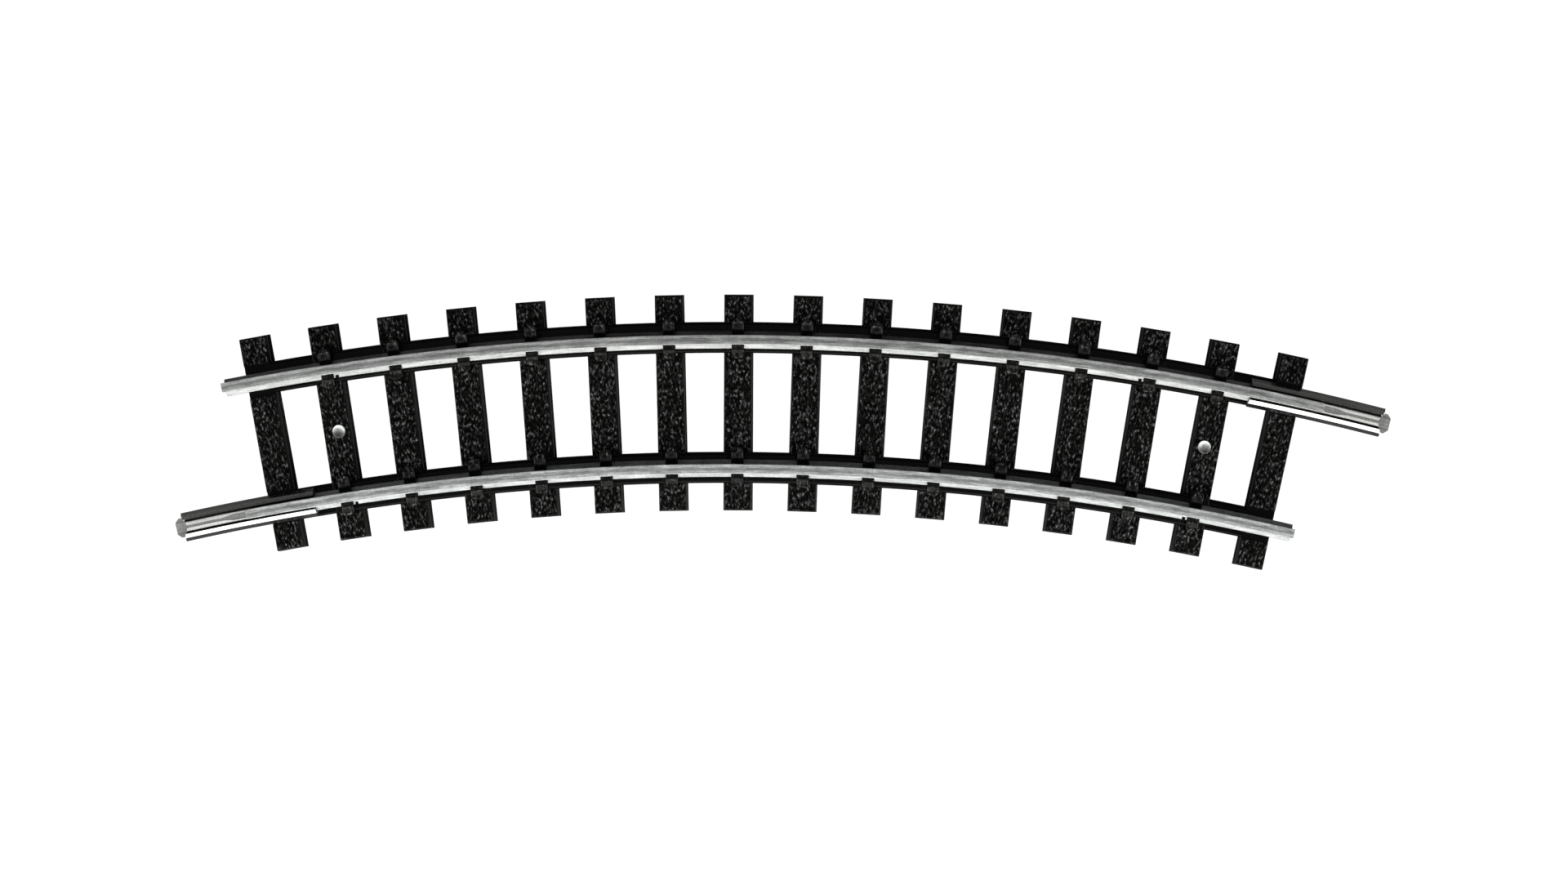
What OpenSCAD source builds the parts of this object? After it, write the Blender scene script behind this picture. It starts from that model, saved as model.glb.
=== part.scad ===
// Curved model railway track section, N scale, 9 mm gauge.
// Origin: middle of the arc, on the track's centre line, in the plane the sleepers stand on.
// +X runs along the track to the right, +Y points to the outside of the curve, +Z is up.

/* [Track] */
// Radius of the track's centre line
radius = 194.6; // [190:0.2:230]
// Angle the section turns through, in degrees
arc = 24; // [24:0.5:30]
// Number of sleepers
sleepers = 16; // [12:1:16]
// Gauge: gap between the two rail heads
gauge = 9; // [8.9:0.05:9.3]

/* [Sleepers] */
// Length of a sleeper at its base
sleeper_length = 16.5; // [15.5:0.1:18]
// Width of a sleeper at its base
sleeper_width = 2.25; // [2:0.05:2.4]
// Height of a sleeper, which is also the height of the rail seat
sleeper_height = 1.9; // [1.7:0.05:2.4]
// How much each side leans in from base to top
sleeper_draft = 0.11; // [0.02:0.01:0.15]
// How far the sleepers sit outward of the track's centre line
bed_offset = 0.1; // [0:0.01:0.15]

/* [Strips under the rails] */
// Width of the strip under each rail
strip_width = 2.35; // [2:0.05:2.4]
// How far the outer rail's strip sits outward of its rail
outer_strip_offset = 0.2; // [0:0.02:0.24]
// How far the inner rail's strip sits outward of its rail
inner_strip_offset = 0.04; // [0:0.02:0.24]
// Height of the strip's underside above the ground
strip_clearance = 0.45; // [0.2:0.05:0.7]
// Chamfer along the strip's two top edges
strip_chamfer = 0.16; // [0.05:0.01:0.25]

/* [Chairs] */
// Width of a chair along the rail
chair_width = 0.95; // [0.8:0.01:1.1]
// Reach of a chair's outer side from the rail's centre
chair_out = 1.7; // [1.4:0.01:1.8]
// Reach of a chair's inner side from the rail's centre
chair_in = 1.4; // [1.3:0.01:1.7]
// Height of the chair's domed head above the rail seat
chair_height = 0.66; // [0.6:0.01:0.8]
// Depth of the dish in the chair's head
chair_dish = 0.14; // [0.05:0.01:0.2]
// Height of the chair's tongue over the rail foot
tongue_height = 0.5; // [0.46:0.01:0.55]

/* [Rails] */
// Height of the rail
rail_height = 2.03; // [1.9:0.01:2.2]
// Width of the rail head
head_width = 0.72; // [0.66:0.01:0.8]
// Width of the rail foot
foot_width = 1.32; // [1.24:0.01:1.34]
// Thickness of the rail's web
web_width = 0.36; // [0.3:0.01:0.38]

/* [Joiners] */
// Length of a joiner that grips its own rail
joiner_grip = 5.5; // [4.5:0.1:5.6]
// Length of a joiner past the rail end, with its tongue
joiner_free = 5.4; // [4:0.1:6]
// How much further out the inner rail's joiner stands on its rail
inner_joiner_out = 0.4; // [0:0.1:0.8]
// Half of a joiner's outside width
joiner_half = 1.1; // [1.08:0.01:1.12]
// Length of the flat tongue at the joiner's tip
nose_length = 0.6; // [0.4:0.05:0.8]
// Width of the flat tongue at the joiner's tip
nose_width = 1.5; // [1.3:0.05:1.55]

/* [Track pins] */
// Diameter of a pin's head
pin_head = 1; // [0.9:0.02:1.1]
// Diameter of a pin's shank
pin_shank = 0.56; // [0.5:0.02:0.6]
// Height of a pin's cupped head
pin_height = 0.3; // [0.26:0.02:0.4]
// Depth of the cup in a pin's head
pin_cup = 0.22; // [0.1:0.02:0.24]
// Distance of a pin from its sleeper's middle, towards the middle of the track
pin_inset = 0.2; // [0:0.02:0.3]
// How far a pin sits outward of the track's centre line
pin_offset = 0.15; // [0:0.01:0.3]

/* [Hidden] */
$fn = 48;
arc_steps = 720;
// Tiny overlap, and how far a cut runs past what it cuts
eps = 0.01;
past = 1;

// Angles: the sleepers share the arc evenly, with half a step at each end
half_arc = arc / 2;
step = arc / sleepers;
last_sleeper = half_arc - step / 2;
pin_sleeper = last_sleeper - step;
rail_place = gauge / 2 + head_width / 2;
outer_radius = radius + rail_place;
inner_radius = radius - rail_place;
seat = sleeper_height;

// Rail profile
foot_edge = 0.22;
foot_top = 0.42;
head_under = 1.38;
head_side = 1.52;
head_corner = 0.1;

// Space round the rail foot inside a chair
slack = 0.02;

// Chair: its root in the sleeper, the ball its dome is cut from, and the step below the dome
chair_root = 0.3;
dome_radius = 0.62;
dome_step = 0.06;
dish_radius = 0.45;
chair_start = web_width / 2 + 0.04;

// Seat for a joiner in the two end sleepers and the bays beside them
saddle_depth = 0.35;
saddle_out = 1.3;
saddle_in = 1.2;
saddle_top = 1;

// Openings under the chairs that free the moulding tool
core_out = foot_width / 2 + slack;
core_in = 0.22;
core_width = chair_width - 0.1;
core_top = seat + 0.1;

// Joiner sheet, drawn from the rail seat upward: floor, side, outer slope, ridge and flat lip
sheet = 0.18;
floor_gap = 0.02;
floor_half = 0.72;
shoulder_low = 0.04;
shoulder_high = 0.38;
roll_half = 0.88;
roll_top = 0.56;
joiner_top = 0.72;
ridge = 0.5;
lip_end = 0.4;
lip_top = 0.6;
slot_half = 0.23;
lip_under = 0.45;
lip_inside = lip_end + 0.02;
ridge_inside = ridge + 0.02;
ridge_under = joiner_top - 0.19;
roll_inside = roll_half - 0.08;
roll_under = roll_top - 0.16;
high_inside = shoulder_high - 0.08;
low_inside = shoulder_low + 0.09;
floor_inside = floor_half - 0.06;
cut_half = 0.97;
mouth_cut = 0.4;
heel_cut = 0.25;
nose_chamfer = 0.3;
nose_root = 0.8;
nose_neck = 0.6;
nose_flare = 0.1;
joiner_rise = 1;

// Notches that stake the rails against creeping
stake_width = 0.24;
stake_depth = 0.2;
stake_shift = chair_width / 2 + 0.24;

// Pin
pin_slack = 0.02;
pin_point = 0.35;
pin_end = 0.1;
pin_tip = 0.16;
pin_lip = 0.06;
pin_lean = 0.04;

// Carries things drawn at the middle of the arc round the arc's centre, clockwise for a positive turn
module along(turn) {
    translate([0, -radius, 0])
        rotate([0, 0, -turn])
            translate([0, radius, 0])
                children();
}

// Sweeps a profile round the arc's centre, from one angle to the other, with its zero at r and height z
module sweep(r, z, from, to) {
    translate([0, -radius, z])
        rotate([0, 0, 90 - to])
            rotate_extrude(angle = to - from, $fn = arc_steps)
                translate([r, 0])
                    children();
}

// One sleeper, drafted on all four sides
module sleeper() {
    w = sleeper_width / 2;
    l = sleeper_length / 2;
    translate([0, bed_offset, 0])
        intersection() {
            rotate([90, 0, 0])
                linear_extrude(height = sleeper_length + past, center = true)
                    polygon([[-w, 0], [w, 0], [w - sleeper_draft, seat], [-w + sleeper_draft, seat]]);
            rotate([90, 0, 90])
                linear_extrude(height = sleeper_width + past, center = true)
                    polygon([[-l, 0], [l, 0], [l - sleeper_draft, seat], [-l + sleeper_draft, seat]]);
        }
}

// Profile of the strip under a rail, with its top at the given height below the rail seat
module strip_profile(drop) {
    w = strip_width / 2;
    bottom = strip_clearance - seat;
    top = -drop;
    polygon([[-w, bottom], [w, bottom], [w, top - strip_chamfer], [w - strip_chamfer, top],
        [-w + strip_chamfer, top], [-w, top - strip_chamfer]]);
}

// The strip on radius r: full height between the chairs, low in the two end bays
module strip(r) {
    sweep(r, seat, -pin_sleeper, pin_sleeper)
        strip_profile(0);
    sweep(r, seat, -last_sleeper, -pin_sleeper)
        strip_profile(saddle_depth);
    sweep(r, seat, pin_sleeper, last_sleeper)
        strip_profile(saddle_depth);
}

// One side of a chair, reaching outward from the rail's centre along +Y, with a dish in its domed head
module chair_side(reach) {
    dome_place = reach - chair_width / 2;
    difference() {
        union() {
            translate([-chair_width / 2, chair_start, -chair_root])
                cube([chair_width, dome_place - chair_start, chair_root + tongue_height]);
            translate([0, dome_place, -chair_root])
                intersection() {
                    cylinder(d = chair_width, h = chair_root + chair_height);
                    translate([0, 0, chair_root + chair_height - dome_radius])
                        sphere(r = dome_radius);
                }
            translate([0, dome_place, -chair_root])
                cylinder(d = chair_width, h = chair_root + tongue_height - dome_step);
        }
        translate([0, dome_place, chair_height - chair_dish + dish_radius])
            sphere(r = dish_radius);
    }
}

// The two sides of the chair that holds one rail on one sleeper
module chair(place) {
    translate([0, place, seat]) {
        chair_side(chair_out);
        mirror([0, 1, 0])
            chair_side(chair_in);
    }
}

// Room for the rail foot inside the chairs
module foot_room() {
    f = foot_width / 2 + slack;
    w = web_width / 2 + slack;
    polygon([[-f, 0], [f, 0], [f, foot_edge + slack], [w, foot_top + slack], [w, saddle_top],
        [-w, saddle_top], [-w, foot_top + slack], [-f, foot_edge + slack]]);
}

// Openings below one chair
module chair_cores(place) {
    depth = core_out - core_in;
    for (near = [core_in, -core_out]) {
        translate([-core_width / 2, place + near, -eps])
            cube([core_width, depth, core_top + eps]);
    }
}

// Low seat across an end sleeper, where a joiner passes under the rail
module saddle(r, from, to) {
    sweep(r, seat, from, to)
        translate([-saddle_in, -saddle_depth])
            square([saddle_in + saddle_out, saddle_depth + saddle_top]);
}

// Hole for a track pin
module pin_hole(turn, side) {
    along(turn)
        translate([side * pin_inset, pin_offset, -eps])
            cylinder(d = pin_shank + 2 * pin_slack, h = seat + 2 * eps);
}

module sleeper_bed() {
    color([0.05, 0.05, 0.05])
        difference() {
            union() {
                for (i = [0:sleepers - 1]) {
                    along(-last_sleeper + i * step)
                        sleeper();
                }
                strip(outer_radius + outer_strip_offset);
                strip(inner_radius + inner_strip_offset);
                for (i = [1:sleepers - 2]) {
                    along(-last_sleeper + i * step) {
                        chair(rail_place);
                        chair(-rail_place);
                    }
                }
            }
            sweep(outer_radius, seat, -last_sleeper, last_sleeper)
                foot_room();
            sweep(inner_radius, seat, -last_sleeper, last_sleeper)
                foot_room();
            for (i = [1:sleepers - 2]) {
                along(-last_sleeper + i * step) {
                    chair_cores(rail_place);
                    chair_cores(-rail_place);
                }
            }
            for (r = [outer_radius, inner_radius]) {
                saddle(r, last_sleeper - step / 2, half_arc + past);
                saddle(r, -half_arc - past, -last_sleeper + step / 2);
            }
            pin_hole(-pin_sleeper, 1);
            pin_hole(pin_sleeper, -1);
        }
}

// Rail profile, standing on its seat
module rail_profile() {
    f = foot_width / 2;
    w = web_width / 2;
    h = head_width / 2;
    polygon([[-f, 0], [f, 0], [f, foot_edge], [w, foot_top], [w, head_under], [h, head_side],
        [h, rail_height - head_corner], [h - head_corner, rail_height], [-h + head_corner, rail_height],
        [-h, rail_height - head_corner], [-h, head_side], [-w, head_under], [-w, foot_top], [-f, foot_edge]]);
}

// A notch in the inner edge of a rail foot, beside the chair at the given angle
module stake_notch(place, turn, side) {
    along(turn)
        translate([side * stake_shift - stake_width / 2, place - foot_width / 2 - eps, seat - eps])
            cube([stake_width, stake_depth + eps, foot_top + eps]);
}

// Steel rail, notched where it is staked
module rail(r, place, turns) {
    difference() {
        sweep(r, seat, -half_arc, half_arc)
            rail_profile();
        stake_notch(place, turns[0], 1);
        stake_notch(place, turns[1], -1);
    }
}

module outer_rail() {
    color([0.72, 0.72, 0.72])
        rail(outer_radius, rail_place, [-pin_sleeper, pin_sleeper - step]);
}

module inner_rail() {
    color([0.72, 0.72, 0.72])
        rail(inner_radius, -rail_place, [-pin_sleeper, pin_sleeper]);
}

// Half of the folded sheet's profile, for the side where the distance from the rail is positive
module joiner_half_profile() {
    top = -floor_gap;
    bottom = -floor_gap - sheet;
    inside = joiner_half - sheet;
    polygon([[0, bottom], [floor_half, bottom], [joiner_half, shoulder_low], [joiner_half, shoulder_high],
        [roll_half, roll_top], [ridge, joiner_top], [lip_end, lip_top], [slot_half, lip_top],
        [slot_half, lip_under], [lip_inside, lip_under], [ridge_inside, ridge_under],
        [roll_inside, roll_under], [inside, high_inside], [inside, low_inside], [floor_inside, top], [0, top]]);
}

// Folded sheet profile of a joiner: floor under the foot, rolled flanges over it
module joiner_profile() {
    union() {
        joiner_half_profile();
        mirror([1, 0])
            joiner_half_profile();
    }
}

// Cuts both flanges back at an angle, at an end that points along +X
module lip_cut(depth) {
    wide = cut_half * (depth + past) / depth;
    linear_extrude(height = joiner_rise)
        polygon([[-depth, 0], [past, wide], [past, -wide]]);
}

// Flat tongue at a joiner's tip, which points along +X
module nose() {
    w = nose_width / 2;
    translate([0, 0, -floor_gap - sheet])
        linear_extrude(height = sheet)
            polygon([[-nose_root, -nose_neck], [0, -nose_neck], [nose_flare, -w],
                [nose_length - nose_chamfer, -w], [nose_length, -w + nose_chamfer],
                [nose_length, w - nose_chamfer], [nose_length - nose_chamfer, w],
                [nose_flare, w], [0, nose_neck], [-nose_root, nose_neck]]);
}

// Joiner on the rail of radius r: side is 1 at the rail's right-hand end and -1 at its left-hand end
module joiner(r, place, out, side) {
    to_degrees = 180 / PI / r;
    heel = side * (half_arc + (out - joiner_grip) * to_degrees);
    mouth = side * (half_arc + (out + joiner_free - nose_length) * to_degrees);
    difference() {
        sweep(r, seat, min(heel, mouth), max(heel, mouth))
            joiner_profile();
        along(mouth)
            translate([0, place, seat])
                rotate([0, 0, 90 - side * 90])
                    lip_cut(mouth_cut);
        along(heel)
            translate([0, place, seat])
                rotate([0, 0, 90 + side * 90])
                    lip_cut(heel_cut);
    }
    along(mouth)
        translate([0, place, seat])
            rotate([0, 0, 90 - side * 90])
                nose();
}

module outer_rail_joiner() {
    color([0.8, 0.8, 0.78])
        joiner(outer_radius, rail_place, 0, 1);
}

module inner_rail_joiner() {
    color([0.8, 0.8, 0.78])
        joiner(inner_radius, -rail_place, inner_joiner_out, -1);
}

// Track pin: cupped head on the sleeper, round shank and point inside it
module track_pin(turn, side) {
    cup_half = pin_head / 2 - pin_lip;
    cup = (pin_cup * pin_cup + cup_half * cup_half) / (2 * pin_cup);
    along(turn)
        translate([side * pin_inset, pin_offset, 0])
            difference() {
                rotate_extrude()
                    polygon([[0, pin_end], [pin_tip / 2, pin_end], [pin_shank / 2, pin_point],
                        [pin_shank / 2, seat], [pin_head / 2, seat],
                        [pin_head / 2 - pin_lean, seat + pin_height], [0, seat + pin_height]]);
                translate([0, 0, seat + pin_height - pin_cup + cup])
                    sphere(r = cup);
            }
}

module left_track_pin() {
    color([0.75, 0.75, 0.75])
        track_pin(-pin_sleeper, 1);
}

module right_track_pin() {
    color([0.75, 0.75, 0.75])
        track_pin(pin_sleeper, -1);
}

sleeper_bed();
outer_rail();
inner_rail();
outer_rail_joiner();
inner_rail_joiner();
left_track_pin();
right_track_pin();
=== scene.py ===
"""Looks of the model track section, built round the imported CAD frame. Lengths are in mm until a mesh is finished."""

import math

import bpy
import numpy as np
from mathutils import Matrix, Vector


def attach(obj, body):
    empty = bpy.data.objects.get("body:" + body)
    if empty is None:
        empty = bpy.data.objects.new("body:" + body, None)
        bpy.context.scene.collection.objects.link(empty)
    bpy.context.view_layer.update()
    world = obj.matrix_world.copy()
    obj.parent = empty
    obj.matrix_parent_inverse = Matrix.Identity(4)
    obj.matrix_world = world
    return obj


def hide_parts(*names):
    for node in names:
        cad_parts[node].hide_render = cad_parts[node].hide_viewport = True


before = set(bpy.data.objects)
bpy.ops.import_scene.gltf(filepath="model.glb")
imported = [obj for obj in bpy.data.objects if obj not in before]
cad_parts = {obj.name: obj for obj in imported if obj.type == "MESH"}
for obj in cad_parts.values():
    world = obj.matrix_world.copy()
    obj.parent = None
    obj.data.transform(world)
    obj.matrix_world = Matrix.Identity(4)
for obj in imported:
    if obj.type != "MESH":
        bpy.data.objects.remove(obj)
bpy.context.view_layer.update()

MM = 0.001

# Track, as in the CAD source
RADIUS = 194.6
HALF_ARC = 12.0
STEP = 1.5
SLEEPERS = 16
LAST = HALF_ARC - STEP / 2
PINNED = LAST - STEP
RAIL_PLACE = 4.86
OUTER = RADIUS + RAIL_PLACE
INNER = RADIUS - RAIL_PLACE
SEAT = 1.9

# Sleepers
SLEEPER_OUT = 0.1
TOP_HALF_W, TOP_HALF_L = 1.014, 8.138
LEAN = 0.11
EDGE = (0.0, 0.014, 0.045, 0.09, 0.15)
PITCH_W, PITCH_L = 0.04, 0.076
GRAIN_DEPTH = 0.075

# Strips under the rails
STRIP_HALF = 1.175
STRIP_OUT = {OUTER: 0.2, INNER: 0.04}
STRIP_LOW = 0.45
SADDLE_DEPTH = 0.35

# Chairs
CHAIR_HALF = 0.475
CHAIR_REACH = {1: 1.7, -1: 1.4}
CHAIR_START = 0.22
CHAIR_ROOT = 0.3

# Track pins
PIN_IN, PIN_OUT = 0.2, 0.15


# ---------------------------------------------------------------- mesh helpers


def turned(points, angle):
    """Points drawn at the middle of the arc, carried clockwise round its centre by an angle in degrees."""
    p = np.asarray(points, float).copy()
    t = math.radians(angle)
    x, y = p[:, 0].copy(), p[:, 1] + RADIUS
    p[:, 0] = x * math.cos(t) + y * math.sin(t)
    p[:, 1] = -x * math.sin(t) + y * math.cos(t) - RADIUS
    return p


def new_object(name, verts, faces):
    mesh = bpy.data.meshes.new(name)
    mesh.from_pydata(np.asarray(verts, float).tolist(), [], faces)
    mesh.validate()
    obj = bpy.data.objects.new(name, mesh)
    bpy.context.scene.collection.objects.link(obj)
    return obj


def gather(name, parts):
    """One object from several closed (points, faces) parts."""
    verts, faces, base = [], [], 0
    for points, polys in parts:
        verts.append(np.asarray(points, float))
        faces += [[base + k for k in poly] for poly in polys]
        base += len(points)
    return new_object(name, np.vstack(verts), faces)


def boolean(base, tool, operation):
    """Joins the tool to the base, or cuts it away, and removes the tool."""
    mod = base.modifiers.new("combine", "BOOLEAN")
    mod.operation = operation
    mod.solver = "MANIFOLD"
    mod.object = tool
    graph = bpy.context.evaluated_depsgraph_get()
    mesh = bpy.data.meshes.new_from_object(base.evaluated_get(graph))
    base.modifiers.clear()
    if not len(mesh.vertices):
        raise RuntimeError(f"{operation} left nothing of {base.name}")
    base.data = mesh
    bpy.data.objects.remove(tool)


def finished(obj, body, material, sharp=38, bevel=0.0, segments=2, crease=None):
    """Scales a mesh to metres, shades it, gives it its material and puts it on its body."""
    obj.data.transform(Matrix.Scale(MM, 4))
    if bevel:
        mod = obj.modifiers.new("edges", "BEVEL")
        mod.width = bevel * MM
        mod.segments = segments
        mod.limit_method = "ANGLE"
        mod.angle_limit = math.radians(sharp)
        mod.use_clamp_overlap = True
        mod.harden_normals = False
        graph = bpy.context.evaluated_depsgraph_get()
        mesh = bpy.data.meshes.new_from_object(obj.evaluated_get(graph))
        obj.modifiers.clear()
        obj.data = mesh
    mesh = obj.data
    mesh.polygons.foreach_set("use_smooth", [True] * len(mesh.polygons))
    mesh.set_sharp_from_angle(angle=math.radians(crease or sharp))
    mesh.materials.clear()
    mesh.materials.append(material)
    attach(obj, body)
    return obj


def sweep(profile, radius, start, end, steps, turn=0.0):
    """Closed solid made by carrying a closed profile of (outward, up) points round the arc's centre."""
    n = len(profile)
    prof = np.asarray(profile, float)
    area = np.sum(prof[:, 0] * np.roll(prof[:, 1], -1) - np.roll(prof[:, 0], -1) * prof[:, 1])
    if area < 0:
        prof = prof[::-1]
    verts = []
    for a in np.linspace(start, end, steps + 1):
        t = math.radians(a)
        r = radius + prof[:, 0]
        verts.append(np.column_stack([r * math.sin(t), r * math.cos(t) - RADIUS, prof[:, 1]]))
    faces = []
    for j in range(steps):
        for i in range(n):
            k = (i + 1) % n
            faces.append([j * n + i, j * n + k, (j + 1) * n + k, (j + 1) * n + i])
    faces.append(list(range(n))[::-1])
    faces.append([steps * n + i for i in range(n)])
    return np.vstack(verts), faces


def rounded(points, radius, segments=4):
    """A closed outline with its corners rounded; each point may carry its own radius as a third number."""
    out = []
    n = len(points)
    for i in range(n):
        p = np.array(points[i][:2], float)
        r = points[i][2] if len(points[i]) > 2 else radius
        a = np.array(points[i - 1][:2], float) - p
        b = np.array(points[(i + 1) % n][:2], float) - p
        la, lb = np.linalg.norm(a), np.linalg.norm(b)
        a, b = a / la, b / lb
        half = math.acos(max(-1, min(1, float(a @ b)))) / 2
        if r <= 0 or half > math.radians(88):
            out.append(p)
            continue
        cut = min(r / math.tan(half), 0.45 * la, 0.45 * lb)
        r = cut * math.tan(half)
        centre = p + (a + b) / np.linalg.norm(a + b) * (r / math.sin(half))
        s, e = p + a * cut - centre, p + b * cut - centre
        total = math.atan2(s[0] * e[1] - s[1] * e[0], float(s @ e))
        for k in range(segments + 1):
            t = total * k / segments
            c, d = math.cos(t), math.sin(t)
            out.append(centre + np.array([s[0] * c - s[1] * d, s[0] * d + s[1] * c]))
    return np.array(out)


def noise(x, y, seed):
    """Smooth gradient noise between about -1 and 1."""
    xi, yi = np.floor(x).astype(np.int64), np.floor(y).astype(np.int64)
    xf, yf = x - xi, y - yi

    def slope(i, j, u, v):
        h = (i * 374761393 + j * 668265263 + seed * 974634777) & 0xFFFFFFFF
        h = ((h ^ (h >> 13)) * 1274126177) & 0xFFFFFFFF
        a = ((h ^ (h >> 16)) & 0xFFFF) / 65536 * 2 * math.pi
        return np.cos(a) * u + np.sin(a) * v

    def ease(t):
        return t * t * t * (t * (t * 6 - 15) + 10)

    sx, sy = ease(xf), ease(yf)
    low = slope(xi, yi, xf, yf) * (1 - sx) + slope(xi + 1, yi, xf - 1, yf) * sx
    high = slope(xi, yi + 1, xf, yf - 1) * (1 - sx) + slope(xi + 1, yi + 1, xf - 1, yf - 1) * sx
    return 1.45 * (low * (1 - sy) + high * sy)


# ---------------------------------------------------------------- sleeper bed


def grain_depth(x, y, seed):
    """How far the moulded wood grain lies below the sleeper's top."""
    sway = 0.24 * noise(x / 1.6, y / 2.3, seed) + 0.07 * noise(x / 0.7, y / 0.8, seed + 1)
    u = x + sway
    vein = 1 - np.minimum(1, np.abs(noise(u / 0.26, y / 1.1 + 7, seed + 2)) / 0.3)
    fine = 1 - np.minimum(1, np.abs(noise(u / 0.19, y / 0.62 + 3, seed + 3)) / 0.34)
    lump = np.clip(0.5 + 0.9 * noise(u / 0.15, y / 0.36, seed + 4), 0, 1)
    swell = 0.5 + 0.5 * noise(x / 0.9, y / 1.4, seed + 5)
    height = 0.42 * vein * (0.3 + 0.7 * lump) + 0.3 * fine + 0.34 * lump + 0.1 * swell
    return GRAIN_DEPTH * (1 - np.clip(height, 0, 1))


def edge_steps(half, pitch):
    inner = np.linspace(-half + EDGE[-1], half - EDGE[-1], int(round(2 * half / pitch)) + 1)
    near = np.array(EDGE[:-1])
    return np.concatenate([-half + near, inner, (half - near)[::-1]])


def sleeper(index):
    """One sleeper with grain on its top, rounded top edges and drafted sides."""
    seed = 101 + 17 * index
    xs, ys = edge_steps(TOP_HALF_W, PITCH_W), edge_steps(TOP_HALF_L, PITCH_L)
    nx, ny = len(xs), len(ys)
    x, y = np.meshgrid(xs, ys, indexing="ij")
    r = EDGE[-1]
    dx, dy = TOP_HALF_W - np.abs(x), TOP_HALF_L - np.abs(y)
    t = np.minimum(1, np.hypot(np.maximum(0, r - dx) / r, np.maximum(0, r - dy) / r))
    fade = np.clip(np.minimum(dx, dy) / 0.16, 0.12, 1)
    z = SEAT - r * (1 - np.sqrt(1 - t * t)) - grain_depth(x, y, seed) * fade
    top = np.column_stack([x.ravel(), y.ravel(), z.ravel()])
    loop = [i * ny for i in range(nx)]
    loop += [(nx - 1) * ny + j for j in range(1, ny)]
    loop += [i * ny + ny - 1 for i in range(nx - 2, -1, -1)]
    loop += [j for j in range(ny - 2, 0, -1)]
    border = top[loop]
    around = np.concatenate([[0], np.cumsum(np.hypot(*np.diff(border[:, :2], axis=0).T))])
    rings, start = [top], SEAT - r
    levels = ((0.08, 0.05), (0.18, 0.12), (0.26, 0.18), (0.275, 0.55), (0.45, 0.68), (0.65, 0.82), (0.85, 0.93), (1.0, 1.0))
    for share, lean in levels:
        ring = border.copy()
        rough = 0.014 * (0.5 + 0.5 * noise(around / 0.55, np.full(len(around), 3.1 * share + 0.37), seed + 9))
        if share == 1.0:
            rough = np.zeros(len(around))
        ring[:, 0] *= (TOP_HALF_W + LEAN * lean - rough) / TOP_HALF_W
        ring[:, 1] *= (TOP_HALF_L + LEAN * lean - rough) / TOP_HALF_L
        ring[:, 2] = border[:, 2] * (1 - share)
        rings.append(ring)
    faces = []
    for i in range(nx - 1):
        for j in range(ny - 1):
            a = i * ny + j
            faces.append([a, a + ny, a + ny + 1, a + 1])
    upper, base, n = loop, nx * ny, len(loop)
    for _ in levels:
        lower = list(range(base, base + n))
        for k in range(n):
            m = (k + 1) % n
            faces.append([upper[k], lower[k], lower[m], upper[m]])
        upper, base = lower, base + n
    faces.append(upper[::-1])
    points = np.vstack(rings)
    points[:, 1] += SLEEPER_OUT
    return turned(points, -LAST + index * STEP), faces


def chair_side(index, place, sign, seed):
    """One side of a rail chair: a D-shaped head with a rounded rim and a dish, running down to the rail's foot."""
    rng = np.random.default_rng(seed)
    reach = CHAIR_REACH[sign]
    centre = reach - CHAIR_HALF
    dish, lift = 0.08 + 0.03 * rng.random(), 0.63 + 0.02 * rng.random()
    corner, grit = 1.0, 0.03
    if sign < 0:
        # the inner side is squarer and flatter, with the sleeper's grain on it
        dish, lift, corner, grit = 0.03, 0.55 + 0.02 * rng.random(), 0.55, 0.04
    outline = [(CHAIR_HALF, CHAIR_START)]
    outline += [(CHAIR_HALF, y) for y in np.linspace(CHAIR_START, centre, 7)[1:]]
    for a in np.linspace(0, math.pi, 21)[1:-1]:
        c, d = math.cos(a), math.sin(a)
        outline.append((CHAIR_HALF * math.copysign(abs(c) ** corner, c), centre + CHAIR_HALF * d**corner))
    outline += [(-CHAIR_HALF, y) for y in np.linspace(centre, CHAIR_START, 7)]
    outline += [(x, CHAIR_START) for x in np.linspace(-CHAIR_HALF, CHAIR_HALF, 9)[1:-1]]
    outline = np.array(outline)
    middle = np.array([0, centre - 0.02])
    n, shares = len(outline), (0.98, 0.94, 0.87, 0.79, 0.7, 0.6, 0.5, 0.4, 0.3, 0.2, 0.1)
    rings = [np.column_stack([outline, np.full(n, -CHAIR_ROOT)])]
    for k, share in enumerate((1.0,) + shares):
        p = middle + (outline - middle) * share
        gap = (1 - share) * np.hypot(*(outline - middle).T)
        rim = 0.15
        drop = rim - np.sqrt(np.maximum(0, rim**2 - np.maximum(0, rim - gap) ** 2))
        slope = np.clip((p[:, 1] - 0.3) / (centre - 0.42), 0, 1)
        top = 0.5 + (lift - 0.5) * slope * slope * (3 - 2 * slope)
        away = np.hypot(p[:, 0], p[:, 1] - centre)
        bowl = dish * np.clip(1 - (away / 0.34) ** 2, 0, 1) ** 1.2
        ripple = grit * noise(p[:, 0] / 0.15 + 5, p[:, 1] / 0.26, seed)
        rings.append(np.column_stack([p, top - drop - bowl - 0.006 + ripple * min(1, (1 - share) * 6)]))
    last = np.array([[middle[0], middle[1], rings[-1][:, 2].mean() - 0.002]])
    points = np.vstack(rings + [last])
    faces, rows = [], len(rings)
    for j in range(rows - 1):
        for i in range(n):
            k = (i + 1) % n
            faces.append([j * n + i, j * n + k, (j + 1) * n + k, (j + 1) * n + i])
    tip = rows * n
    for i in range(n):
        faces.append([(rows - 1) * n + i, (rows - 1) * n + (i + 1) % n, tip])
    faces.append(list(range(n))[::-1])
    if sign < 0:
        points[:, 1] *= -1
        faces = [f[::-1] for f in faces]
    points[:, 1] += place
    points[:, 2] += SEAT
    return turned(points, -LAST + index * STEP), faces


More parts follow.
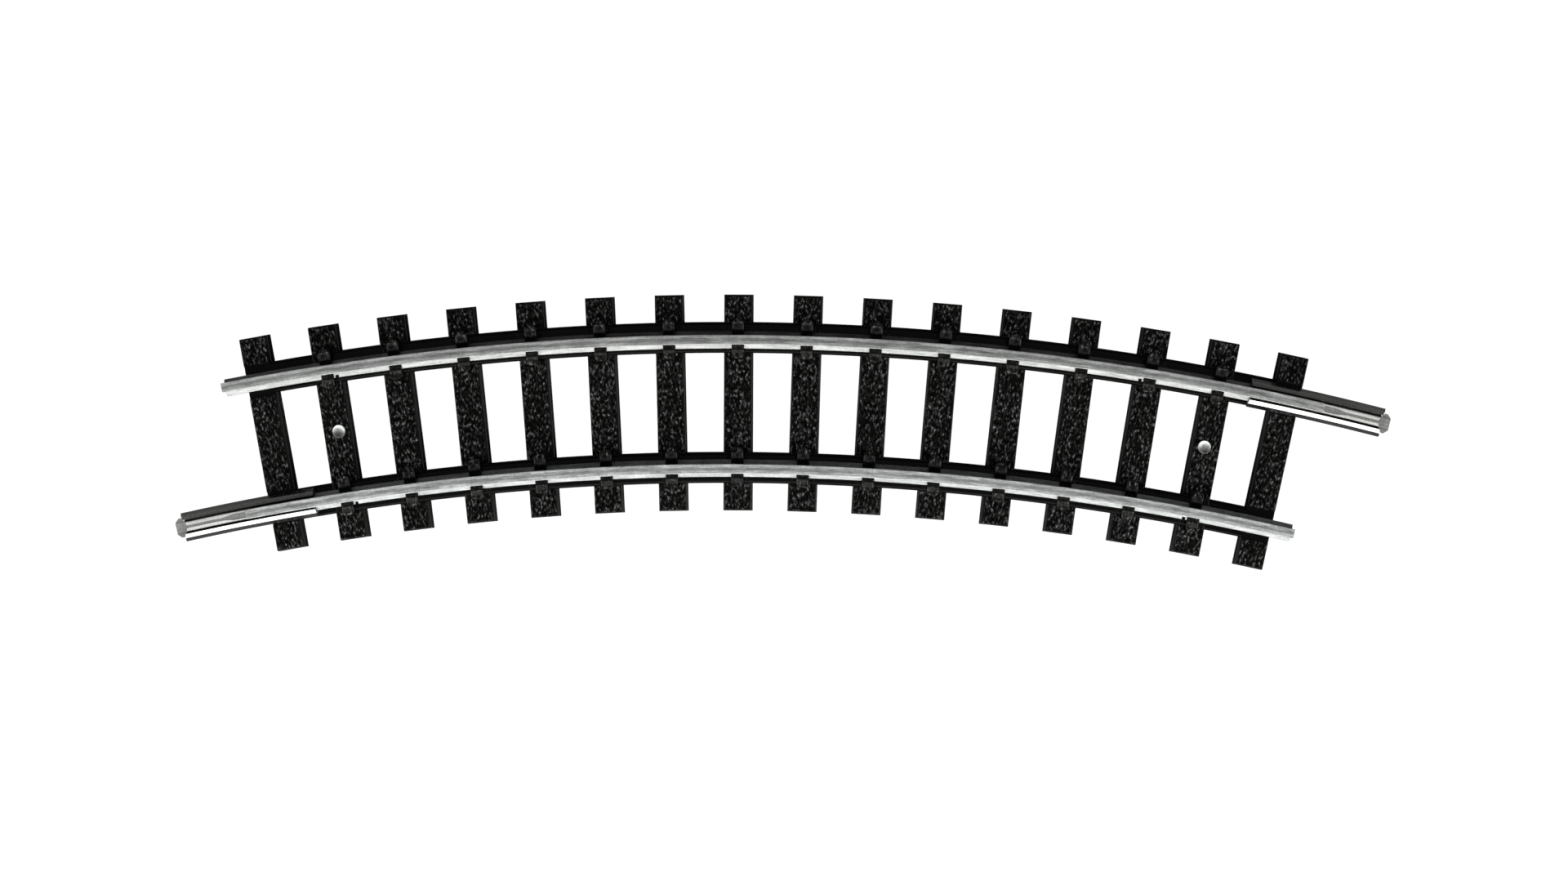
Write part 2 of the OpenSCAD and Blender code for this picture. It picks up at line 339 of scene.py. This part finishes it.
def block(low, high, angle):
    """A plain box drawn at the middle of the arc and carried to its angle."""
    (x0, y0, z0), (x1, y1, z1) = low, high
    points = [(x, y, z) for z in (z0, z1) for x, y in ((x0, y0), (x1, y0), (x1, y1), (x0, y1))]
    faces = [[3, 2, 1, 0], [4, 5, 6, 7], [0, 1, 5, 4], [1, 2, 6, 5], [2, 3, 7, 6], [3, 0, 4, 7]]
    return turned(np.array(points, float), angle), faces


def lathe(profile, centre, angle, segments=64):
    """Closed turned solid from (radius, height) points that start and end on the axis."""
    points, faces = [(0, 0, profile[0][1])], []
    for r, z in profile[1:-1]:
        points += [(r * math.cos(t), r * math.sin(t), z)
                   for t in np.linspace(0, 2 * math.pi, segments, endpoint=False)]
    points.append((0, 0, profile[-1][1]))
    rows, last = len(profile) - 2, len(points) - 1
    for i in range(segments):
        k = (i + 1) % segments
        faces.append([0, 1 + k, 1 + i])
        for j in range(rows - 1):
            a = 1 + j * segments
            faces.append([a + i, a + k, a + segments + k, a + segments + i])
        a = 1 + (rows - 1) * segments
        faces.append([a + i, a + k, last])
    points = np.array(points, float) + np.array([centre[0], centre[1], 0])
    return turned(points, angle), faces


def strip_outline(drop):
    """Outline of the strip under a rail, with a fine lip along both top edges."""
    w, low, top = STRIP_HALF, STRIP_LOW, SEAT - drop
    right = [(w, low, 0.06), (w, top - 0.2, 0.08), (w - 0.1, top - 0.02, 0.04),
             (w - 0.17, top, 0.03), (w - 0.22, top - 0.035, 0.03)]
    left = [(-x, z, r) for x, z, r in right[::-1]]
    return rounded(right + left, 0.03, 3)


def build_bed():
    bed = gather("sleeper_bed_moulding", [sleeper(i) for i in range(SLEEPERS)])
    for r in (OUTER, INNER):
        low = sweep(strip_outline(SADDLE_DEPTH), r + STRIP_OUT[r], -LAST, LAST, 200)
        boolean(bed, gather("tool", [low]), "UNION")
        high = sweep(strip_outline(0.0), r + STRIP_OUT[r], -PINNED, PINNED, 180)
        boolean(bed, gather("tool", [high]), "UNION")
    chairs = []
    for i in range(1, SLEEPERS - 1):
        for place in (RAIL_PLACE, -RAIL_PLACE):
            for sign in (1, -1):
                seed = 5000 + i * 10 + (place > 0) * 2 + (sign > 0)
                chairs.append(chair_side(i, place, sign, seed))
    boolean(bed, gather("tool", chairs), "UNION")
    foot = [(-0.68, 0), (0.68, 0), (0.68, 0.24), (0.2, 0.44), (0.2, 1), (-0.2, 1), (-0.2, 0.44), (-0.68, 0.24)]
    foot = [(x, z + SEAT) for x, z in foot]
    for r in (OUTER, INNER):
        boolean(bed, gather("tool", [sweep(foot, r, -LAST, LAST, 200)]), "DIFFERENCE")
    cores = []
    for i in range(1, SLEEPERS - 1):
        for place in (RAIL_PLACE, -RAIL_PLACE):
            for near in (0.22, -0.68):
                cores.append(block((-0.425, place + near, -0.2), (0.425, place + near + 0.46, SEAT + 0.1),
                                   -LAST + i * STEP))
    boolean(bed, gather("tool", cores), "DIFFERENCE")
    saddle = [(-1.2, SEAT - SADDLE_DEPTH), (1.3, SEAT - SADDLE_DEPTH), (1.3, SEAT + 1), (-1.2, SEAT + 1)]
    cuts = []
    for r in (OUTER, INNER):
        for a in (-HALF_ARC - 0.4, LAST - STEP / 2):
            cuts.append(sweep(saddle, r, a, a + STEP + 0.4, 12))
    boolean(bed, gather("tool", cuts), "DIFFERENCE")
    holes = []
    for side in (1, -1):
        hole = [(0, -0.5), (0.3, -0.5), (0.3, SEAT + 0.5), (0, SEAT + 0.5)]
        holes.append(lathe(hole, (side * PIN_IN, PIN_OUT), -side * PINNED, 40))
    boolean(bed, gather("tool", holes), "DIFFERENCE")
    return bed


# ---------------------------------------------------------------- rails, joiners and pins


def rail_outline():
    right = [(0.66, 0.0, 0.04), (0.66, 0.2, 0.05), (0.18, 0.42, 0.1), (0.18, 1.38, 0.1), (0.36, 1.52, 0.05),
             (0.36, 2.03, 0.035)]
    left = [(-x, z, r) for x, z, r in right[::-1]]
    outline = rounded(right + left, 0.04, 5)
    crown = 0.003 * (outline[:, 0] / 0.36) ** 2
    outline[:, 1] -= np.where(outline[:, 1] > 1.9, crown, 0)
    outline[:, 1] += SEAT
    return outline


def build_rail(name, r, place, notches):
    rail = gather(name, [sweep(rail_outline(), r, -HALF_ARC, HALF_ARC, 240)])
    cuts = []
    for angle, side in notches:
        x = side * (CHAIR_HALF + 0.24)
        cuts.append(block((x - 0.12, place - 0.8, SEAT - 0.2), (x + 0.12, place - 0.46, SEAT + 0.6), angle))
    boolean(rail, gather("tool", cuts), "DIFFERENCE")
    return rail


def joiner_sheet(lip):
    """Outline of the folded sheet: floor, side, outer slope, ridge and a flat lip that ends at the given place."""
    outer = [(0.7, -0.2, 0.3), (1.1, 0.0, 0.08), (1.1, 0.12, 0.06), (0.83, 0.57, 0.02), (0.55, 0.72, 0.0),
             (0.43, 0.46, 0.0), (0.33, 0.61, 0.01), (lip, 0.61, 0.008)]
    inner = [(lip, 0.45, 0.02), (0.36, 0.44, 0.02), (0.43, 0.385, 0.01), (0.57, 0.5, 0.04), (0.72, 0.43, 0.05),
             (0.9, 0.14, 0.05), (0.9, 0.08, 0.06), (0.66, -0.02, 0.1)]
    right = outer + inner
    left = [(-x, z, r) for x, z, r in right[::-1]]
    return rounded(right + left, 0.03, 4)


def build_joiner(name, r, out, side):
    """The sheet swept along the rail; its lips spring nearer to each other towards the mouth."""
    per = 180 / math.pi / r
    heel = HALF_ARC + (out - 5.5) * per
    mouth = HALF_ARC + (out + 4.8) * per
    steps = 72
    verts = []
    for j in range(steps + 1):
        share = j / steps
        place = out - 5.5 + (5.5 + 4.8) * share
        # the lips stay open over the 1.04 mm that the joiner can be pushed onto its rail
        closing = min(1, max(0, (place - 1.15) / 1.1))
        profile = joiner_sheet(0.23 - 0.12 * closing * closing * (3 - 2 * closing))
        back = np.where(profile[:, 1] > 0.0, np.maximum(0, 1 - np.abs(profile[:, 0]) / 0.97), 0)
        a = heel + 0.25 * per * back + (mouth - heel - (0.25 + 0.4) * per * back) * share
        t = np.radians(a * side)
        rr = r + profile[:, 0]
        verts.append(np.column_stack([rr * np.sin(t), rr * np.cos(t) - RADIUS, profile[:, 1] + SEAT]))
    n = len(profile)
    faces = []
    for j in range(steps):
        for i in range(n):
            k = (i + 1) % n
            faces.append([j * n + i, j * n + k, (j + 1) * n + k, (j + 1) * n + i])
    faces.append(list(range(n))[::-1])
    faces.append([steps * n + i for i in range(n)])
    if side < 0:
        faces = [f[::-1] for f in faces]
    return gather(name, [(np.vstack(verts), faces)])


def build_nose(r, place, out, side):
    """Flat tongue at a joiner's tip, bent down a little at its crease."""
    stations = [(-0.3, 0.6), (-0.1, 0.6), (0.0, 0.62), (0.06, 0.71), (0.1, 0.75), (0.2, 0.75), (0.3, 0.75),
                (0.4, 0.65), (0.5, 0.55), (0.57, 0.48), (0.6, 0.42)]
    across = 13
    tops, bottoms = [], []
    for x, w in stations:
        dip = 0.05 * max(0, x - 0.22)
        for y in np.linspace(-w, w, across):
            tops.append((x, y, -0.022 - dip))
            bottoms.append((x, y, -0.198 - dip * 0.4))
    n = len(tops)
    points = np.array(tops + bottoms)
    rows = len(stations)
    faces = []
    for i in range(rows - 1):
        for j in range(across - 1):
            a = i * across + j
            faces.append([a, a + across, a + across + 1, a + 1])
            faces.append([n + a, n + a + 1, n + a + across + 1, n + a + across])
    edge = [i * across for i in range(rows)]
    edge += [(rows - 1) * across + j for j in range(1, across)]
    edge += [i * across + across - 1 for i in range(rows - 2, -1, -1)]
    edge += [j for j in range(across - 2, 0, -1)]
    for k in range(len(edge)):
        a, b = edge[k], edge[(k + 1) % len(edge)]
        faces.append([a, n + a, n + b, b])
    if side < 0:
        points[:, 0] *= -1
        faces = [f[::-1] for f in faces]
    points[:, 1] += place
    points[:, 2] += SEAT
    angle = side * (HALF_ARC + (out + 4.8) * 180 / math.pi / r)
    return turned(points, angle), faces


def pin_outline():
    """Round shank with a point, and a head with a rolled lip round its cup."""
    shape = [(0.0, 0.1), (0.08, 0.1), (0.28, 0.35), (0.28, SEAT - 0.01), (0.3, SEAT), (0.46, SEAT), (0.49, SEAT + 0.03),
             (0.495, SEAT + 0.15), (0.485, SEAT + 0.29)]
    depth, width = 0.125, 0.48
    for x in np.linspace(width, 0, 20):
        shape.append((x, SEAT + 0.292 - depth * (1 - (x / width) ** 2.3)))
    return shape


# ---------------------------------------------------------------- materials


def nodes_of(name):
    mat = bpy.data.materials.new(name)
    mat.use_nodes = True
    tree = mat.node_tree
    tree.nodes.clear()
    out = tree.nodes.new("ShaderNodeOutputMaterial")
    bsdf = tree.nodes.new("ShaderNodeBsdfPrincipled")
    tree.links.new(bsdf.outputs[0], out.inputs[0])
    return mat, tree, bsdf


def math_node(tree, op, a, b=None):
    node = tree.nodes.new("ShaderNodeMath")
    node.operation = op
    for k, v in enumerate((a, b)):
        if v is None:
            continue
        if isinstance(v, (int, float)):
            node.inputs[k].default_value = v
        else:
            tree.links.new(v, node.inputs[k])
    return node.outputs[0]


def noise_node(tree, vector, scale, detail=3.0, rough=0.55):
    node = tree.nodes.new("ShaderNodeTexNoise")
    node.inputs["Scale"].default_value = scale
    node.inputs["Detail"].default_value = detail
    node.inputs["Roughness"].default_value = rough
    tree.links.new(vector, node.inputs["Vector"])
    return node.outputs["Fac"]


def ramp_node(tree, value, stops):
    node = tree.nodes.new("ShaderNodeValToRGB")
    ramp = node.color_ramp
    while len(ramp.elements) < len(stops):
        ramp.elements.new(0.5)
    for e, (pos, col) in zip(ramp.elements, stops):
        e.position = pos
        e.color = (*col, 1) if isinstance(col, tuple) else (col, col, col, 1)
    tree.links.new(value, node.inputs[0])
    return node.outputs[0]


def bump_node(tree, height, strength, distance, normal=None):
    node = tree.nodes.new("ShaderNodeBump")
    node.inputs["Strength"].default_value = strength
    node.inputs["Distance"].default_value = distance
    tree.links.new(height, node.inputs["Height"])
    if normal is not None:
        tree.links.new(normal, node.inputs["Normal"])
    return node.outputs[0]


def track_space(tree):
    """Texture space that runs along the curve: distance from the arc's centre, place along the arc, height."""
    coord = tree.nodes.new("ShaderNodeTexCoord")
    split = tree.nodes.new("ShaderNodeSeparateXYZ")
    tree.links.new(coord.outputs["Object"], split.inputs[0])
    x, z = split.outputs[0], split.outputs[2]
    y = math_node(tree, "ADD", split.outputs[1], RADIUS * MM)
    r = math_node(tree, "SQRT", math_node(tree, "ADD", math_node(tree, "MULTIPLY", x, x),
                                          math_node(tree, "MULTIPLY", y, y)))
    along = math_node(tree, "MULTIPLY", math_node(tree, "ARCTAN2", x, y), RADIUS * MM)
    return coord.outputs["Object"], r, along, z


def stretched(tree, r, along, z, across, length):
    join = tree.nodes.new("ShaderNodeCombineXYZ")
    tree.links.new(math_node(tree, "MULTIPLY", r, across), join.inputs[0])
    tree.links.new(math_node(tree, "MULTIPLY", along, length), join.inputs[1])
    tree.links.new(math_node(tree, "MULTIPLY", z, across), join.inputs[2])
    return join.outputs[0]


def plastic():
    mat, tree, bsdf = nodes_of("moulded_black_plastic")
    place, r, along, z = track_space(tree)
    broad = noise_node(tree, place, 900, 3)
    fine = noise_node(tree, place, 14000, 4, 0.6)
    fibre = noise_node(tree, stretched(tree, along, r, z, 6300.0, 2900.0), 1.0, 1.5, 0.5)
    edge = tree.nodes.new("ShaderNodeNewGeometry").outputs["Pointiness"]
    tone = ramp_node(tree, broad, [(0.3, (0.0011, 0.0012, 0.001)), (0.7, (0.002, 0.0021, 0.0017))])
    worn = ramp_node(tree, edge, [(0.5, 0.0), (0.56, 1.0)])
    mix = tree.nodes.new("ShaderNodeMixRGB")
    tree.links.new(math_node(tree, "MULTIPLY", worn, 0.3), mix.inputs[0])
    tree.links.new(tone, mix.inputs[1])
    mix.inputs[2].default_value = (0.02, 0.0205, 0.015, 1)
    rough = math_node(tree, "ADD", math_node(tree, "MULTIPLY", fine, 0.2), 0.14)
    tree.links.new(rough, bsdf.inputs["Roughness"])
    bsdf.inputs["IOR"].default_value = 1.56
    glint = ramp_node(tree, fibre, [(0.42, 0.0), (0.51, 0.06), (0.58, 0.32), (0.65, 1.0)])
    top = ramp_node(tree, math_node(tree, "MULTIPLY", z, 1000 / (SEAT + 0.1)), [(0.9, 0.0), (0.935, 1.0)])
    beside = 1.0
    for radius in (OUTER, INNER):
        away = math_node(tree, "ABSOLUTE", math_node(tree, "SUBTRACT", r, (radius + STRIP_OUT[radius]) * MM))
        clear = math_node(tree, "GREATER_THAN", away, STRIP_HALF * MM)
        top = math_node(tree, "MULTIPLY", top, clear)
        off = math_node(tree, "ABSOLUTE", math_node(tree, "SUBTRACT", r, radius * MM))
        beside = math_node(tree, "MULTIPLY", beside, math_node(tree, "GREATER_THAN", off, 0.76 * MM))
    grain = bump_node(tree, math_node(tree, "MULTIPLY", fibre, top), 1.0, 0.00009)
    tree.links.new(bump_node(tree, fine, 0.3, 0.00001, grain), bsdf.inputs["Normal"])
    raised = ramp_node(tree, math_node(tree, "MULTIPLY", z, 1 / (3 * MM)), [((SEAT + 0.3) / 3, 0.0), ((SEAT + 0.42) / 3, 1.0)])
    disc = math_node(tree, "MULTIPLY", raised, beside)
    ledge = ramp_node(tree, math_node(tree, "MULTIPLY", z, 1 / (2 * MM)),
                      [(0.57, 0.015), (0.61, 0.5), (0.66, 0.5), (0.7, 0.1), (0.85, 0.12)])
    gloss = math_node(tree, "ADD", ledge, math_node(tree, "MULTIPLY", disc, 0.3))
    plain = math_node(tree, "MULTIPLY", math_node(tree, "SUBTRACT", 1.0, top), gloss)
    shine = math_node(tree, "ADD", math_node(tree, "MULTIPLY", glint, top), plain)
    tree.links.new(shine, bsdf.inputs["Specular IOR Level"])
    # painted sheen: the raised chair tops away from the rails get a lighter grey base colour, broken up by the fibre
    # noise, standing in for the light they catch
    painted_chair_sheen = tree.nodes.new("ShaderNodeMixRGB")
    tree.links.new(math_node(tree, "MULTIPLY", disc, ramp_node(tree, fibre, [(0.36, 0.2), (0.62, 1.0)])), painted_chair_sheen.inputs[0])
    tree.links.new(mix.outputs[0], painted_chair_sheen.inputs[1])
    painted_chair_sheen.inputs[2].default_value = (0.022, 0.0228, 0.0205, 1)
    tree.links.new(painted_chair_sheen.outputs[0], bsdf.inputs["Base Color"])
    return mat


def metal(name, color, rough_low, rough_high, streak=0.35, across=9000.0, length=260.0, centre=None, lips=0.0):
    """Worn metal. On a rail, centre is its radius: the head carries lengthwise lines and a painted reflection, darker
    along its middle and lighter towards its edges, and the foot is painted darker as shade.
    On a joiner, lips is how much rougher the sheet is near the slot; the sheet is also painted darker in its grooves
    and along its outer edges as shade."""
    mat, tree, bsdf = nodes_of(name)
    place, r, along, z = track_space(tree)
    lines = noise_node(tree, stretched(tree, r, along, z, across, length), 1.0, 4, 0.6)
    broad = noise_node(tree, stretched(tree, r, along, z, across * 0.3, length * 0.5), 1.0, 2)
    spots = noise_node(tree, place, 5200, 3, 0.65)
    dull = tuple(c * 0.6 for c in color)
    blend = math_node(tree, "ADD", math_node(tree, "MULTIPLY", lines, 0.6), math_node(tree, "MULTIPLY", spots, 0.4))
    tone = ramp_node(tree, blend, [(0.36, dull), (0.6, color)])
    if centre:
        away = math_node(tree, "MULTIPLY", math_node(tree, "ABSOLUTE", math_node(tree, "SUBTRACT", r, centre * MM)),
                         1 / (0.36 * MM))
        wander = math_node(tree, "MULTIPLY", math_node(tree, "SUBTRACT", lines, 0.5), 0.5)
        # painted reflection: across the rail head the colour is darker along the middle and lighter towards both edges,
        # wobbled by the lengthwise lines
        painted_head_reflection = ramp_node(tree, math_node(tree, "ADD", away, wander), [(0.0, 0.55), (0.25, 0.66), (0.5, 1.0), (0.8, 0.95)])
        # painted shade: the foot and the lower web are painted at about half the head's brightness
        foot = ramp_node(tree, math_node(tree, "MULTIPLY", z, 1 / (4 * MM)), [(0.6, 0.47), (0.7, 1.0)])
        shade = tree.nodes.new("ShaderNodeMixRGB")
        shade.blend_type = "MULTIPLY"
        shade.inputs[0].default_value = 1.0
        tree.links.new(tone, shade.inputs[1])
        tree.links.new(math_node(tree, "MULTIPLY", painted_head_reflection, foot), shade.inputs[2])
        tone = shade.outputs[0]
    if lips:
        # painted shade: the sheet is darkened in the grooves beside the lips and along its outer edges; below the seat
        # it is darkened no further than 0.7
        off = math_node(tree, "MINIMUM", math_node(tree, "ABSOLUTE", math_node(tree, "SUBTRACT", r, OUTER * MM)),
                        math_node(tree, "ABSOLUTE", math_node(tree, "SUBTRACT", r, INNER * MM)))
        painted_groove_and_edge_shade = ramp_node(tree, math_node(tree, "MULTIPLY", off, 1 / (1.1 * MM)),
                          [(0.3, 1.0), (0.33, 0.25), (0.47, 0.3), (0.5, 1.0), (0.74, 1.0), (0.78, 0.4)])
        low = math_node(tree, "LESS_THAN", z, (SEAT + 0.01) * MM)
        shade = tree.nodes.new("ShaderNodeMixRGB")
        shade.blend_type = "MULTIPLY"
        shade.inputs[0].default_value = 1.0
        tree.links.new(tone, shade.inputs[1])
        tree.links.new(math_node(tree, "MAXIMUM", painted_groove_and_edge_shade, math_node(tree, "MULTIPLY", low, 0.7)), shade.inputs[2])
        tone = shade.outputs[0]
    tree.links.new(tone, bsdf.inputs["Base Color"])
    bsdf.inputs["Metallic"].default_value = 1.0
    rough = ramp_node(tree, broad, [(0.3, rough_low), (0.7, rough_high)])
    if lips:
        near = math_node(tree, "LESS_THAN", off, 0.36 * MM)
        near = math_node(tree, "MULTIPLY", near, math_node(tree, "GREATER_THAN", z, (SEAT + 0.3) * MM))
        rough = math_node(tree, "ADD", rough, math_node(tree, "MULTIPLY", near, lips))
    speckle = math_node(tree, "MULTIPLY", math_node(tree, "SUBTRACT", spots, 0.5), 0.12)
    tree.links.new(math_node(tree, "ADD", rough, speckle), bsdf.inputs["Roughness"])
    first = bump_node(tree, lines, streak, 0.00003)
    tree.links.new(bump_node(tree, spots, streak * 0.4, 0.00002, first), bsdf.inputs["Normal"])
    return mat


# ---------------------------------------------------------------- build

black = plastic()
# lit and shaded copies of one steel: the inner rail's copy is painted lighter than the outer rail's, standing in for
# the brighter light on it
steel = {OUTER: metal("drawn_steel_outer_shaded_copy", (0.86, 0.88, 0.86), 0.3, 0.46, 0.5, 9000.0, 900.0, OUTER),
         INNER: metal("drawn_steel_inner_lit_copy", (0.96, 0.99, 0.97), 0.34, 0.5, 0.5, 9000.0, 900.0, INNER)}
sheet = metal("joiner_sheet", (0.88, 0.89, 0.86), 0.16, 0.26, 0.2, 7000.0, 200.0, lips=0.42)
bright = metal("pin_steel", (0.5, 0.52, 0.5), 0.36, 0.44, 0.12, 5000.0, 5000.0)

bed = build_bed()
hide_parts("sleeper_bed")
finished(bed, "track", black, sharp=46)

for name, r, place, notches in (
    ("outer_rail", OUTER, RAIL_PLACE, ((-PINNED, 1), (PINNED - STEP, -1))),
    ("inner_rail", INNER, -RAIL_PLACE, ((-PINNED, 1), (PINNED, -1))),
):
    rail = build_rail(name + "_drawn", r, place, notches)
    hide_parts(name)
    finished(rail, "track", steel[r], sharp=34, bevel=0.02, crease=9)

for name, body, r, place, out, side in (
    ("outer_rail_joiner", "outer_joiner", OUTER, RAIL_PLACE, 0.0, 1),
    ("inner_rail_joiner", "inner_joiner", INNER, -RAIL_PLACE, 0.4, -1),
):
    joiner = build_joiner(name + "_folded", r, out, side)
    boolean(joiner, gather("tool", [build_nose(r, place, out, side)]), "UNION")
    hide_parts(name)
    finished(joiner, body, sheet, crease=9)

for name, body, side in (("left_track_pin", "left_pin", -1), ("right_track_pin", "right_pin", 1)):
    pin = gather(name + "_turned", [lathe(pin_outline(), (-side * PIN_IN, PIN_OUT), side * PINNED)])
    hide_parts(name)
    finished(pin, body, bright, sharp=28)

# ---------------------------------------------------------------- stage, light and camera


def floor_material():
    mat, tree, bsdf = nodes_of("pale_floor")
    bsdf.inputs["Base Color"].default_value = (0.18, 0.18, 0.18, 1)
    bsdf.inputs["Roughness"].default_value = 0.9
    bsdf.inputs["Specular IOR Level"].default_value = 0.0
    out = next(n for n in tree.nodes if n.type == "OUTPUT_MATERIAL")
    seen = tree.nodes.new("ShaderNodeLightPath").outputs["Is Camera Ray"]
    glow = tree.nodes.new("ShaderNodeEmission")
    glow.inputs[1].default_value = 1.0
    add = tree.nodes.new("ShaderNodeAddShader")
    mix = tree.nodes.new("ShaderNodeMixShader")
    tree.links.new(bsdf.outputs[0], add.inputs[0])
    tree.links.new(glow.outputs[0], add.inputs[1])
    tree.links.new(seen, mix.inputs[0])
    tree.links.new(bsdf.outputs[0], mix.inputs[1])
    tree.links.new(add.outputs[0], mix.inputs[2])
    tree.links.new(mix.outputs[0], out.inputs[0])
    return mat


floor = new_object("floor", [(-3, -3, 0), (3, -3, 0), (3, 3, 0), (-3, 3, 0)], [[0, 1, 2, 3]])
floor.location.z = -0.00001
floor.data.materials.append(floor_material())


def softbox(name, place, size, radiance, target=(0, 0, 0)):
    light = bpy.data.lights.new(name, "AREA")
    light.shape = "RECTANGLE"
    light.size, light.size_y = size
    light.energy = radiance * math.pi * size[0] * size[1]
    obj = bpy.data.objects.new(name, light)
    obj.location = place
    obj.rotation_euler = (Vector(target) - Vector(place)).to_track_quat("-Z", "Y").to_euler()
    bpy.context.scene.collection.objects.link(obj)
    return obj


softbox("south_softbox", (0.0, -0.62, 0.52), (1.3, 0.45), 3.0)
softbox("east_softbox", (0.72, -0.3, 0.5), (0.5, 0.6), 2.3)
softbox("west_softbox", (-0.72, -0.3, 0.5), (0.5, 0.6), 2.3)


def studio_world():
    """Surroundings that are dark to the north, dim overhead and lighter to the south, east and west."""
    world = bpy.data.worlds.new("studio")
    bpy.context.scene.world = world
    world.use_nodes = True
    tree = world.node_tree
    split = tree.nodes.new("ShaderNodeSeparateXYZ")
    tree.links.new(tree.nodes.new("ShaderNodeTexCoord").outputs["Generated"], split.inputs[0])
    south = ramp_node(tree, math_node(tree, "SUBTRACT", 0.5, math_node(tree, "MULTIPLY", split.outputs[1], 0.5)),
                      [(0.15, 0.008), (0.37, 0.018), (0.5, 0.27), (0.66, 0.45), (0.85, 0.6)])
    side = ramp_node(tree, math_node(tree, "ABSOLUTE", split.outputs[0]), [(0.2, 0.0), (0.7, 0.25)])
    tree.links.new(math_node(tree, "ADD", south, side), tree.nodes["Background"].inputs[1])
    tree.nodes["Background"].inputs[0].default_value = (1, 1, 1, 1)


studio_world()

tilt = Matrix.Rotation(math.radians(1.03), 3, "Z") @ Matrix.Rotation(math.radians(1.01), 3, "Y") \
    @ Matrix.Rotation(math.radians(-1.0), 3, "X")
distance = 250 * MM
camera_data = bpy.data.cameras.new("camera")
camera_data.sensor_width = 36
camera_data.lens = 36 * 16.153 * 250 / 1920
camera_data.clip_start, camera_data.clip_end = 0.01, 20
camera = bpy.data.objects.new("camera", camera_data)
camera.matrix_world = Matrix.Translation(Vector((1.01, -2.75, 1.9)) * MM + tilt @ Vector((0, 0, distance))) \
    @ tilt.to_4x4()
bpy.context.scene.collection.objects.link(camera)
bpy.context.scene.camera = camera
bpy.context.scene.view_settings.view_transform = "Standard"
